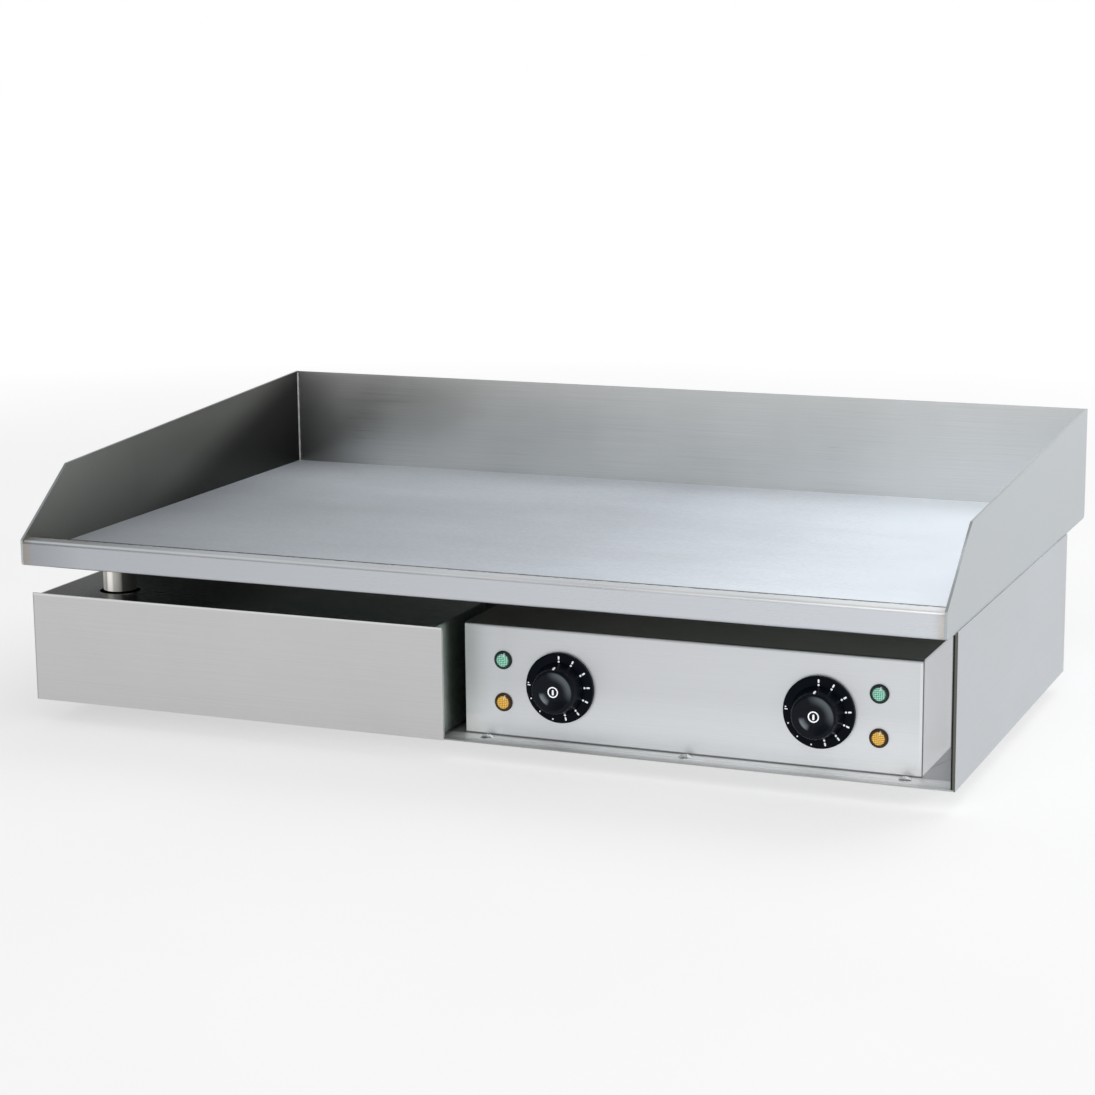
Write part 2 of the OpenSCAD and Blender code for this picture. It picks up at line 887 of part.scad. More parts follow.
module terminal_block() {
    pole = 13;
    color("ivory") difference() {
        union() {
            block([block_x0, block_y0, base_top], [block_x0 + 5 * pole, block_y0 + 24, base_top + 14]);
            for (i = [0 : 4]) translate([block_x0 + (i + 0.5) * pole, block_y0 + 12, base_top]) {
                cylinder(r = 5, h = 20);
            }
        }
        for (i = [0 : 4]) translate([block_x0 + (i + 0.5) * pole, block_y0 + 12, base_top + 15]) {
            cylinder(r = 3, h = 6);
        }
    }
}

// Loom from the terminal block to the limit cut-out, the thermostats, the lamps and the elements
module wire_loom() {
    r = 1.4;
    y0 = block_y0 - 1.6;
    z0 = base_top + 7;
    pole_xs = [6, 19, 32, 45, 58];
    feed_zs = [base_top + 42, base_top + 50];
    control_zs = [base_top + 29, base_top + 19];
    rise_y = bulkhead_y + 16;
    pin_z = run_z - 3.3;
    knob_rear = panel_y + 42;
    jumper_z = pin_z - 14;
    color("firebrick") union() {
        for (i = [0, 1]) {
            x = block_x0 + pole_xs[i];
            pin_x = i == 0 ? -10 : 10;
            wire_path([[x, y0, z0], [x, y0 - 12, feed_zs[i]], [pin_x, run_start, feed_zs[i]],
                       [pin_x, run_start, pin_z]], r);
        }
        for (i = [0, 1]) {
            x = block_x0 + pole_xs[i + 2];
            wire_path([[x, y0, z0], [x, y0 - 20, control_zs[i]], [pass_xs[i] - 5, rise_y, control_zs[i]],
                       [pass_xs[i] - 5, rise_y, pass_z - 4], [pass_xs[i] - 5, bulkhead_y - 10, pass_z - 4],
                       [knob_xs[i] - 8, knob_rear, knob_z + 8]], r);
        }
        wire_path([[block_x0 + pole_xs[4], y0, z0], [block_x0 + pole_xs[4], y0 - 8, base_top + 12],
                   [limit_x - 5, body_back - 40, base_top + 20], [limit_x - 5, body_back - 30, limit_z]], r);
        wire_path([[-12, rear_run, pin_z], [-12, rear_run, base_top + 62],
                   [limit_x + 5, body_back - 40, base_top + 54], [limit_x + 5, body_back - 30, limit_z]], r);
        wire_path([[-7.5, rear_run, pin_z], [-7.5, rear_run, jumper_z], [10, rear_run, jumper_z],
                   [10, rear_run, pin_z]], r);
        for (x = lamp_xs) {
            wire_path([[x - 3, panel_y + 27, amber_z], [x - 3, panel_y + 40, amber_z],
                       [x - 3, panel_y + 40, green_z], [x - 3, panel_y + 27, green_z]], r);
        }
    }
}

module cable_gland() {
    color("black") out_of_back(gland_x, body_back - sheet, gland_z) difference() {
        union() {
            translate([0, 0, -9]) cylinder(r = 10, h = 9 + sheet + eps);
            translate([0, 0, -6]) cylinder(d = 24 / cos(30), h = 6, $fn = 6);
            translate([0, 0, sheet]) cylinder(d = 24 / cos(30), h = 7, $fn = 6);
            translate([0, 0, sheet + 7]) cylinder(r1 = 11, r2 = 8, h = 12);
        }
        translate([0, 0, -12]) cylinder(r = cable_r + 0.1, h = 40);
    }
}

// Supply cable: through the gland, down behind the body, then along the counter
module power_cable() {
    drop_r = 30;
    lay_r = 15;
    out_y = body_back + 28;
    floor_z = cable_r + 0.5;
    drop_z = gland_z - drop_r;
    far_y = out_y + drop_r;
    inlet_y = body_back - 34;
    color("black") union() {
        translate([gland_x, inlet_y, gland_z]) rotate([-90, 0, 0]) {
            cylinder(r = cable_r, h = out_y - inlet_y);
        }
        translate([gland_x, out_y, drop_z]) rotate([90, 0, 90]) rotate_extrude(angle = 90) {
            translate([drop_r, 0]) circle(r = cable_r);
        }
        translate([gland_x, far_y, floor_z + lay_r]) {
            if (drop_z > floor_z + lay_r) cylinder(r = cable_r, h = drop_z - floor_z - lay_r);
        }
        translate([gland_x + lay_r, far_y, floor_z + lay_r]) rotate([90, 180, 0]) {
            rotate_extrude(angle = 90) translate([lay_r, 0]) circle(r = cable_r);
        }
        translate([gland_x + lay_r, far_y, floor_z]) rotate([0, 90, 0]) cylinder(r = cable_r, h = 170);
        for (a = [90, 210, 330]) {
            translate([gland_x + lay_r + 169, far_y + 2.3 * cos(a), floor_z + 2.3 * sin(a)]) {
                rotate([0, 90, 0]) cylinder(r = 1.5, h = 26);
            }
        }
    }
}

// Equipotential bonding stud with a flange head inside and a nut outside
module bonding_stud() {
    color("goldenrod") out_of_back(bond_x, body_back - sheet, gland_z - 12) union() {
        translate([0, 0, -4]) cylinder(d = 10 / cos(30), h = 4, $fn = 6);
        cylinder(r = 3, h = sheet + 16);
        translate([0, 0, sheet]) cylinder(r = 6.5, h = 1.5);
        translate([0, 0, sheet + 1.5]) cylinder(d = 10 / cos(30), h = 5, $fn = 6);
    }
}

griddle_plate();
splash_back();
splash_left();
splash_right();
front_rail();
grease_gutter();
drain_tube();
plate_studs();
stud_nuts();
heating_element_left();
heating_element_right();
clamp_bars_left();
clamp_bars_right();
insulation_left();
insulation_right();
heat_shield();
base_pan();
side_panel_left();
side_panel_right();
back_panel();
front_bulkhead();
base_stiffener();
ledge_screws();
panel_screws();
panel_nuts();
foot_front_left();
foot_front_right();
foot_rear_left();
foot_rear_right();
foot_screws();
foot_nuts();
drawer_runner_left();
drawer_runner_right();
drawer_front();
drawer_box();
drawer_lid();
control_housing();
dial_ring_left();
dial_ring_right();
knob_left();
knob_right();
thermostat_shaft_left();
thermostat_shaft_right();
thermostat_left();
thermostat_right();
sensor_bulb_left();
sensor_bulb_right();
green_lens_left();
green_lens_right();
amber_lens_left();
amber_lens_right();
lamp_holders();
limit_cutout();
reset_button();
terminal_block();
wire_loom();
cable_gland();
power_cable();
bonding_stud();
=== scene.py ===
"""Looks of the countertop griddle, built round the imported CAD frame. Metres, +Z up, front faces -Y."""

import json
import math

import bmesh
import bpy
from mathutils import Matrix, Vector


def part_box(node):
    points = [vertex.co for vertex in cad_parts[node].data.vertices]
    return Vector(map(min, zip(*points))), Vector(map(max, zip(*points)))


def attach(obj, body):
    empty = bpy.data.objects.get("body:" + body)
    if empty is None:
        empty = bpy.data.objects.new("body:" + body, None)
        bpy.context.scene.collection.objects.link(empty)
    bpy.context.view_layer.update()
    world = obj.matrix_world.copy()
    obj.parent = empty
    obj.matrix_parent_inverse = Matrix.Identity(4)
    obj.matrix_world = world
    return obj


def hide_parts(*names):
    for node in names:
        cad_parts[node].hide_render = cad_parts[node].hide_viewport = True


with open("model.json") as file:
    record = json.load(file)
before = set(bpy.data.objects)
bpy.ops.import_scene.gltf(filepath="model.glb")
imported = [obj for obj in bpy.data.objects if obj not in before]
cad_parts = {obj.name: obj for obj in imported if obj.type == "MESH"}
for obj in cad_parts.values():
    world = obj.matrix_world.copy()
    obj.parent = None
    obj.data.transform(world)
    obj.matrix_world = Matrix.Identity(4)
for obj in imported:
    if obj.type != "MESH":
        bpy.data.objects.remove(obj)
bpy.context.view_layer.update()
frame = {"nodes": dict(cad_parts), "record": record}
nodes = frame["nodes"]
MM = 0.001


# ---------- materials ----------


class Tree:
    """A node tree, with short calls to add and join nodes."""

    def __init__(self, tree):
        self.tree = tree
        self.tree.nodes.clear()

    def add(self, kind, **settings):
        node = self.tree.nodes.new(kind)
        for key, value in settings.items():
            setattr(node, key, value)
        return node

    def join(self, source, target):
        self.tree.links.new(source, target)

    def put(self, target, value):
        if isinstance(value, bpy.types.NodeSocket):
            self.join(value, target)
        else:
            target.default_value = value

    def math(self, operation, a, b=0.0):
        node = self.add("ShaderNodeMath", operation=operation)
        for socket, value in zip(node.inputs, (a, b)):
            self.put(socket, value)
        return node.outputs[0]

    def position(self):
        return self.add("ShaderNodeTexCoord").outputs["Object"]

    def axis(self, vector, name):
        split = self.add("ShaderNodeSeparateXYZ")
        self.join(vector, split.inputs[0])
        return split.outputs[name]

    def noise(self, vector, scale=(1, 1, 1), size=1.0, detail=2.0, roughness=0.5):
        mapping = self.add("ShaderNodeMapping")
        self.join(vector, mapping.inputs["Vector"])
        mapping.inputs["Scale"].default_value = scale
        node = self.add("ShaderNodeTexNoise")
        self.join(mapping.outputs[0], node.inputs["Vector"])
        node.inputs["Scale"].default_value = size
        node.inputs["Detail"].default_value = detail
        node.inputs["Roughness"].default_value = roughness
        return node.outputs[0]

    def span(self, value, low, high, out_low=0.0, out_high=1.0, smooth=False):
        node = self.add("ShaderNodeMapRange", clamp=True)
        node.interpolation_type = "SMOOTHSTEP" if smooth else "LINEAR"
        for key, v in zip(("Value", "From Min", "From Max", "To Min", "To Max"),
                          (value, low, high, out_low, out_high)):
            self.put(node.inputs[key], v)
        return node.outputs["Result"]

    def mix(self, factor, a, b, blend="MIX"):
        node = self.add("ShaderNodeMix", data_type="RGBA", blend_type=blend)
        self.put(node.inputs["Factor"], factor)
        for key, value in (("A", a), ("B", b)):
            socket = [s for s in node.inputs if s.name == key and s.type == "RGBA"][0]
            self.put(socket, value)
        return [s for s in node.outputs if s.type == "RGBA"][0]

    def ramp(self, value, stops):
        """Colour at a value between 0 and 1, from (place, colour) pairs in rising order."""
        node = self.add("ShaderNodeValToRGB")
        elements = node.color_ramp.elements
        while len(elements) < len(stops):
            elements.new(0.5)
        for element, (place, color) in zip(elements, stops):
            element.position = place
            element.color = color
        self.join(value, node.inputs[0])
        return node


class Shader(Tree):
    """One node material with a Principled surface."""

    def __init__(self, name):
        self.material = bpy.data.materials.new(name)
        self.material.use_nodes = True
        super().__init__(self.material.node_tree)
        self.surface = self.add("ShaderNodeBsdfPrincipled")
        output = self.add("ShaderNodeOutputMaterial")
        self.join(self.surface.outputs["BSDF"], output.inputs["Surface"])

    def bump(self, height, strength, distance):
        node = self.add("ShaderNodeBump")
        node.inputs["Strength"].default_value = strength
        node.inputs["Distance"].default_value = distance
        self.put(node.inputs["Height"], height)
        self.join(node.outputs[0], self.surface.inputs["Normal"])

    def set(self, **values):
        for key, value in values.items():
            self.put(self.surface.inputs[key.replace("_", " ")], value)


def rgba(color):
    return (*color, 1.0)


PANEL_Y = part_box("control_housing")[0].y
PANEL_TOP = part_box("control_housing")[1].z
PANEL_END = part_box("control_housing")[1].x
BASE_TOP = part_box("base_pan")[1].z
BASE_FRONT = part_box("base_pan")[0].y
SIDE_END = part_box("side_panel_right")[1].x
LID_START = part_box("drawer_lid")[0].x
FRONT_LOW, FRONT_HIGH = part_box("drawer_front")
KNOB_XS = [(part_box(n)[0].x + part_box(n)[1].x) / 2 for n in ("knob_left", "knob_right")]
KNOB_Z = (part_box("knob_left")[0].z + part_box("knob_left")[1].z) / 2
LENS_COLORS = {
    "green": ((0.07, 0.33, 0.23), (0.40, 0.82, 0.64)),
    "amber": ((0.60, 0.24, 0.01), (0.98, 0.62, 0.10)),
}
RAIL_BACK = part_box("front_rail")[1].y
DRAIN_LOW, DRAIN_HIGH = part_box("drain_tube")
DRAIN_X = (DRAIN_LOW.x + DRAIN_HIGH.x) / 2
DRAIN_D = (DRAIN_HIGH.x - DRAIN_LOW.x) / MM
# Painted brightness across the drain tube (highlight and shade), at millimetres from its axis
GLEAM = [(-13, 0.10), (-11.5, 0.28), (-10, 0.50), (-7, 0.50), (-5, 0.36), (-3, 1.0), (0, 1.0), (1.8, 0.50),
         (5, 0.36), (7, 0.22), (8.2, 0.04), (13, 0.02)]
GRAIN_SCALE = {"x": (9, 1400, 1400), "y": (1400, 9, 1400), "z": (1400, 1400, 9)}
GRAIN_AXIS = {"x": (1, 0, 0), "y": (0, 1, 0), "z": (0, 0, 1)}


def steel(name, color, roughness, grain="x", streak=0.06, smudge=0.05, depth=0.12, aniso=0.4,
          metallic=1.0, light_sweep=(1.0, 1.0), extra=None):
    """Brushed stainless sheet: fine streaks along one axis, with soft handling marks; painted light scales
    its colour from the left end to the right end.
    """
    s = Shader(name)
    place = s.position()
    streaks = s.noise(place, GRAIN_SCALE[grain], 1.0, 3.0, 0.7)
    clouds = s.noise(place, (1, 1, 1), 9.0, 3.0, 0.55)
    shade = s.math("ADD", s.span(streaks, 0.3, 0.7, 1 - streak, 1 + streak),
                   s.span(clouds, 0.3, 0.7, -smudge, smudge))
    # painted light: colour scaled from the left end to the right end, for light falling from the right
    across = s.span(s.axis(place, "X"), -0.36, 0.36, *light_sweep)
    tone = s.mix(1.0, rgba(color), s.math("MULTIPLY", shade, across), "MULTIPLY")
    if extra:
        tone = extra(s, place, tone)
    rough = s.math("ADD", s.span(streaks, 0.3, 0.7, roughness - 0.05, roughness + 0.05),
                   s.span(clouds, 0.35, 0.7, -0.03, 0.06))
    s.set(Base_Color=tone, Metallic=metallic, Roughness=rough, Anisotropic=aniso)
    direction = s.add("ShaderNodeCombineXYZ")
    for i, v in enumerate(GRAIN_AXIS[grain]):
        direction.inputs[i].default_value = v
    s.join(direction.outputs[0], s.surface.inputs["Tangent"])
    s.bump(streaks, depth, 0.0001)
    return s.material


def facing(s, axis, sign):
    """1 on faces whose normal points along an axis, 0 elsewhere."""
    normal = s.add("ShaderNodeNewGeometry").outputs["True Normal"]
    return s.span(s.math("MULTIPLY", s.axis(normal, axis), sign), 0.5, 0.8)


def scaled(s, tone, level):
    return s.mix(1.0, tone, level, "MULTIPLY")


def splash_painted_shade(s, place, tone):
    """Splash guards: painted shade on the insides. The left guard is warm-tinted and darker low down and
    towards the back, with a soft painted shadow wedge in the left back corner. The back guard is darker at
    its left end and lighter to the right. The outer faces are tinted blue.
    """
    x, y, z = (s.axis(place, name) for name in "XYZ")
    rise = s.span(z, 0.137, 0.215)
    left = s.math("MULTIPLY", facing(s, "X", 1.0), s.span(x, -0.1, -0.2))
    open_level = s.math("MULTIPLY", s.span(rise, 0.0, 0.8, 0.16, 0.35), s.span(y, -0.06, -0.2, 1.0, 1.6))
    # painted shadow: a soft dark wedge in the left back corner
    wedge = s.span(s.math("SUBTRACT", y, s.math("MULTIPLY", rise, 0.22)), -0.09, 0.04, smooth=True)
    left_level = s.math("ADD", s.math("MULTIPLY", open_level, s.math("SUBTRACT", 1.0, wedge)),
                        s.math("MULTIPLY", wedge, 0.05))
    left_tone = scaled(s, scaled(s, tone, rgba((1.04, 1.03, 0.94))), left_level)
    back = s.math("MULTIPLY", facing(s, "Y", -1.0), s.span(y, 0.1, 0.2))
    leaning_x = s.math("ADD", x, s.math("MULTIPLY", rise, 0.05))
    # painted shade: the back guard darker at its left end, lighter to the right
    back_level = s.span(leaning_x, -0.36, -0.27, 0.44, 1.38, smooth=True)
    back_tone = scaled(s, tone, back_level)
    outer_tone = scaled(s, tone, rgba((0.90, 0.95, 1.0)))
    return s.mix(left, s.mix(back, outer_tone, back_tone), left_tone)


def plate_marks_and_painted_light(s, place, tone):
    """Cooking plate: mottled grinding marks and painted light. It is lighter towards the back on its left
    half, with a painted glow (emission) growing towards the right; the colour's left-to-right sweep darkens
    its left end.
    """
    x, y = s.axis(place, "X"), s.axis(place, "Y")
    back = s.span(y, 0.0, 0.22, smooth=True)
    lift = s.math("MULTIPLY", back, s.span(x, -0.36, 0.0, 0.5, 0.13))
    # painted highlight: a glow (emission) growing towards the right
    glow = s.math("MULTIPLY", s.span(x, 0.03, 0.36), s.span(y, -0.17, 0.23, 0.22, 0.25))
    patches = s.noise(place, (0.35, 1.0, 1.0), 26.0, 4.0, 0.62)
    grit = s.noise(place, (0.45, 1.0, 1.0), 620.0, 2.0, 0.7)
    marks = s.math("MULTIPLY", s.span(patches, 0.3, 0.7, 0.965, 1.035), s.span(grit, 0.3, 0.7, 0.93, 1.07))
    s.set(Emission_Color=rgba((0.92, 0.965, 1.0)), Emission_Strength=glow)
    return scaled(s, tone, s.math("MULTIPLY", marks, s.math("ADD", lift, 1.0)))


def panel_smudges_and_painted_light(s, place, tone):
    """Housing, with painted light and shade: a paler right wall with a painted glow, between painted dark
    lines at its front fold and top edge. There is painted shade on the top face and a painted highlight rim
    along the front's top and right edges. A painted dark line runs at the foot, there is a little more
    painted light low down and at the left end, and there are soft handling smudges."""
    x, z = s.axis(place, "X"), s.axis(place, "Z")
    wall = s.math("MULTIPLY", facing(s, "X", 1.0), s.span(x, 0.2, 0.3))
    # painted light: a glow (emission) on the right wall behind its front fold
    lit = s.math("MULTIPLY", wall, s.span(s.axis(place, "Y"), PANEL_Y + 0.0026, PANEL_Y + 0.0046, 0.06, 0.42))
    s.set(Emission_Color=rgba((0.97, 0.98, 1.0)), Emission_Strength=lit)
    low = s.math("MULTIPLY", s.span(z, 0.02, 0.06, 1.24, 1.0), s.span(x, -0.013, 0.02, 1.25, 1.0))
    # painted dark lines: at the wall's front fold, under its top edge and along the foot
    fold = s.math("MULTIPLY", wall, s.span(s.axis(place, "Y"), PANEL_Y + 0.0042, PANEL_Y + 0.0026, 0.0, 0.75))
    roof = s.math("MULTIPLY", wall, s.span(z, PANEL_TOP - 0.0026, PANEL_TOP - 0.0012, 0.0, 0.8))
    foot = s.span(z, BASE_TOP + 0.0014, BASE_TOP + 0.0006)
    front = facing(s, "Y", -1.0)
    # painted highlight along the front's top and right edges
    rim = s.math("MAXIMUM", s.span(z, PANEL_TOP - 0.0022, PANEL_TOP - 0.0012),
                 s.span(x, PANEL_END - 0.0026, PANEL_END - 0.0014))
    smudge = s.span(s.noise(place, (1, 1, 1), 38.0, 3.0, 0.6), 0.35, 0.7, 1.0, 0.88)
    face = s.mix(wall, scaled(s, tone, low), scaled(s, rgba((0.80, 0.81, 0.82)), smudge))
    face = s.mix(s.math("MULTIPLY", s.math("MULTIPLY", front, rim), 0.6), face, rgba((0.98, 0.98, 0.98)))
    dark = s.math("MAXIMUM", s.math("MAXIMUM", fold, roof), foot)
    face = scaled(s, face, s.math("SUBTRACT", 1.0, s.math("MULTIPLY", dark, 0.78)))
    # painted shade on the top face, darker towards the right
    top_shade = s.mix(s.span(x, 0.1, 0.3), rgba((0.28, 0.275, 0.23)), rgba((0.175, 0.175, 0.14)))
    return s.mix(facing(s, "Z", 1.0), face, scaled(s, tone, top_shade))


def shaded_return(s, place, tone):
    """Front return of the right side panel: painted shade with a brown tint, darkest in a painted dark line
    along its inner edge.
    """
    x = s.axis(place, "X")
    edge = s.math("MULTIPLY", facing(s, "Y", -1.0), s.span(x, 0.35, 0.355))
    # painted dark line along the inner edge of the return
    depth = s.span(x, SIDE_END - 0.0025, SIDE_END - 0.0017, 0.12, 1.0)
    return s.mix(edge, tone, scaled(s, scaled(s, tone, rgba((0.26, 0.255, 0.215))), depth))


def tube_gleam(s, place, tone):
    """Drain tube: painted light across it, as colour and as glow. A narrow painted highlight sits left of its
    middle, and painted black shade covers its right side.
    """
    across = s.math("SUBTRACT", s.axis(place, "X"), DRAIN_X)
    half = DRAIN_D / 2 * MM
    stops = [(where / DRAIN_D + 0.5, rgba((v, v * 0.985, v * 0.95))) for where, v in GLEAM]
    band = s.ramp(s.span(across, -half, half), stops)
    # painted highlight and shade, given as glow (emission) too
    s.set(Emission_Color=band.outputs["Color"], Emission_Strength=0.45, Specular_IOR_Level=0.0)
    return scaled(s, tone, band.outputs["Color"])


def end_shade(s, place, tone):
    """Base pan: painted shade on its front edge and front face, and where it runs under the housing and the
    drawer.
    """
    y = s.axis(place, "Y")
    under = s.span(y, PANEL_Y - 0.004, PANEL_Y, 1.0, 0.5)
    lip = s.span(y, BASE_FRONT + 0.002, BASE_FRONT + 0.012, 0.62, 1.0, smooth=True)
    fold = s.math("SUBTRACT", 1.0, s.math("MULTIPLY", facing(s, "Y", -1.0), 0.35))
    return scaled(s, tone, s.math("MULTIPLY", under, s.math("MULTIPLY", lip, fold)))


def lid_tone_and_highlight(s, place, tone):
    """Lid: its top face is darker at the left end round the drain and lighter towards the right, with a
    painted highlight line along its left edge.
    """
    x = s.axis(place, "X")
    top = facing(s, "Z", 1.0)
    left_end_dark = s.span(x, -0.24, -0.16, 0.24, 1.25, smooth=True)
    # painted highlight line along the lid's left edge
    edge_highlight = s.span(x, LID_START + 0.0022, LID_START + 0.0014, 0.0, 1.3)
    level = s.math("MULTIPLY", top, s.math("SUBTRACT", s.math("ADD", left_end_dark, edge_highlight), 1.1))
    return scaled(s, tone, s.math("ADD", level, 1.1))


def drawer_front_edge_lines(s, place, tone):
    """Drawer front: a painted highlight line along its top edge and a dark line down its left edge."""
    front = facing(s, "Y", -1.0)
    # painted highlight along the top edge
    top_highlight = s.span(s.axis(place, "Z"), FRONT_HIGH.z - 0.0020, FRONT_HIGH.z - 0.0012, 0.0, 0.4)
    left_edge_dark = s.span(s.axis(place, "X"), FRONT_LOW.x + 0.0014, FRONT_LOW.x + 0.0008, 0.0, 0.35)
    tone = s.mix(s.math("MULTIPLY", top_highlight, front), tone, rgba((0.95, 0.95, 0.95)))
    return s.mix(s.math("MULTIPLY", left_edge_dark, front), tone, rgba((0.10, 0.10, 0.10)))


def rail_welds_and_painted_light(s, place, tone):
    """Rail: painted highlights on the flat lip and its bend, painted shade at the left end and in a dark line
    behind the lip, and straw weld colour at the ends.
    """
    x, y = s.axis(place, "X"), s.axis(place, "Y")
    far = s.math("ABSOLUTE", x)
    uneven = s.noise(place, (1, 1, 1), 160.0, 2.0, 0.5)
    near = s.math("MULTIPLY", s.span(far, 0.3535, 0.3632, smooth=True),
                  s.span(uneven, 0.3, 0.65, 0.5, 1.0))
    # painted shade: darker left end
    tone = scaled(s, tone, s.span(x, -0.365, -0.31, 0.72, 1.0))
    lip = facing(s, "Z", 1.0)
    normal = s.add("ShaderNodeNewGeometry").outputs["True Normal"]
    slope = s.axis(normal, "Z")
    # painted highlights on the bend and on the flat lip
    bend = s.math("MULTIPLY", s.span(slope, 0.08, 0.3), s.span(slope, 0.97, 0.85))
    tone = s.mix(bend, tone, scaled(s, tone, rgba((1.45, 1.45, 1.45))))
    tone = s.mix(lip, tone, scaled(s, tone, s.span(x, -0.36, 0.36, 1.75, 1.4)))
    # painted shade: an uneven dark line along the lip's rear edge
    rough_edge = s.noise(place, (1, 0.1, 0.1), 220.0, 3.0, 0.6)
    rear_edge_y = s.math("ADD", y, s.math("MULTIPLY", s.math("SUBTRACT", rough_edge, 0.5), 0.004))
    lip_rear_shade = s.math("MULTIPLY", lip, s.span(rear_edge_y, RAIL_BACK - 0.0037, RAIL_BACK - 0.0027))
    tone = s.mix(lip_rear_shade, tone, rgba((0.045, 0.045, 0.05)))
    return s.mix(s.math("MULTIPLY", near, 0.5), tone, rgba((0.42, 0.30, 0.18)))


def plastic(name, color, roughness=0.4, grit=0.15, coat=0.0, level=0.5, glow=0.0):
    s = Shader(name)
    place = s.position()
    fine = s.noise(place, (1, 1, 1), 1800.0, 2.0, 0.6)
    broad = s.noise(place, (1, 1, 1), 60.0, 2.0, 0.5)
    shade = s.span(broad, 0.3, 0.7, 0.85, 1.15)
    s.set(Base_Color=s.mix(1.0, rgba(color), shade, "MULTIPLY"),
          Roughness=s.span(fine, 0.3, 0.7, roughness - 0.06, roughness + 0.06),
          Coat_Weight=coat, Coat_Roughness=0.15, Specular_IOR_Level=level,
          Emission_Color=rgba(color), Emission_Strength=glow)
    s.bump(fine, grit, 0.0001)
    return s.material


def lens(name, color, light, centre=(0.0, 0.0), radius=0.1):
    """Coloured lamp lens: diagonal cross-hatch, a painted dark outer band of shade at the dome's edge, and a
    small painted window highlight on it.
    """
    s = Shader(name)
    place = s.position()
    x = s.math("SUBTRACT", s.axis(place, "X"), centre[0])
    z = s.math("SUBTRACT", s.axis(place, "Z"), centre[1])
    pitch, diagonal = 2.0 * MM, 0.7071
    turns = 2 * math.pi / pitch * diagonal
    waves = [s.math("SINE", s.math("MULTIPLY", s.math(way, x, z), turns)) for way in ("ADD", "SUBTRACT")]
    hatch = s.math("MULTIPLY", *waves)
    out = s.math("SQRT", s.math("ADD", s.math("MULTIPLY", x, x), s.math("MULTIPLY", z, z)))
    tone = s.mix(s.span(hatch, -0.5, 0.5), rgba([v * 0.7 for v in color]), rgba(light))
    # painted shade in the lens's outer band
    band = s.span(out, radius * 0.78, radius * 0.86)
    tone = s.mix(band, tone, rgba([v * 0.06 for v in color]))
    # painted highlight: a small window reflection near the top
    tilt = s.math("ADD", x, s.math("MULTIPLY", z, -0.3))
    gleam = s.math("MULTIPLY", s.span(s.math("ABSOLUTE", tilt), 0.0007, 0.0004), s.span(z, 0.0026, 0.0031))
    tone = s.mix(s.math("MULTIPLY", gleam, 0.5), tone, rgba((0.85, 0.93, 0.90)))
    s.set(Base_Color=tone, Roughness=0.16, Coat_Weight=0.3, Emission_Color=tone, Emission_Strength=0.25)
    s.bump(hatch, 0.4, 0.0003)
    return s.material


def rim_plastic(name):
    """Lamp holder rims: near-black with a painted glare of the lamp's own colour, green above and amber
    below.
    """
    s = Shader(name)
    fine = s.noise(s.position(), (1, 1, 1), 1800.0, 2.0, 0.6)
    # painted glare of the lamp colours: green above, amber below
    above = s.math("GREATER_THAN", s.axis(s.position(), "Z"), KNOB_Z)
    s.set(Base_Color=s.mix(above, rgba((0.050, 0.022, 0.004)), rgba((0.004, 0.026, 0.020))),
          Roughness=s.span(fine, 0.3, 0.7, 0.14, 0.24), Specular_IOR_Level=0.25)
    return s.material


def nearest(s, value, places):
    """Offset of a coordinate from the nearer of two places."""
    a, b = (s.math("SUBTRACT", value, p) for p in places)
    past = s.math("GREATER_THAN", value, sum(places) / 2)
    return s.math("ADD", s.math("MULTIPLY", a, s.math("SUBTRACT", 1.0, past)), s.math("MULTIPLY", b, past))


def cap_plastic():
    """Satin cap with painted sheen (emission): a broad painted highlight at the upper right of the dish and a
    small one at the lower left.
    """
    s = Shader("cap_plastic")
    place = s.add("ShaderNodeNewGeometry").outputs["Position"]
    u = nearest(s, s.axis(place, "X"), KNOB_XS)
    v = s.math("SUBTRACT", s.axis(place, "Z"), KNOB_Z)
    out = s.math("SQRT", s.math("ADD", s.math("MULTIPLY", u, u), s.math("MULTIPLY", v, v)))
    shine = None
    # clock angle, narrowness, inner and outer radius in metres, strength of each painted sheen
    upper, lower = (48, 0.35, 0.007, 0.0146, 0.11), (232, 0.82, 0.0055, 0.0100, 0.20)
    for angle, sharp, inner, outer, power in (upper, lower):
        way = math.radians(angle)
        along = s.math("DIVIDE", s.math("ADD", s.math("MULTIPLY", u, math.sin(way)),
                                        s.math("MULTIPLY", v, math.cos(way))), out)
        spot = s.math("MULTIPLY", s.span(along, sharp, 1.0, smooth=True),
                      s.math("MULTIPLY", s.span(out, inner, outer, smooth=True),
                             s.span(out, outer + 0.0002, outer + 0.0010, power, 0.0)))
        shine = s.math("ADD", shine, spot) if shine else spot
    fine = s.noise(s.position(), (1, 1, 1), 1800.0, 2.0, 0.6)
    s.set(Base_Color=rgba((0.004, 0.006, 0.010)), Roughness=s.span(fine, 0.3, 0.7, 0.24, 0.34),
          Specular_IOR_Level=0.12, Emission_Color=rgba((0.80, 0.93, 1.0)), Emission_Strength=shine)
    s.bump(fine, 0.1, 0.0001)
    return s.material


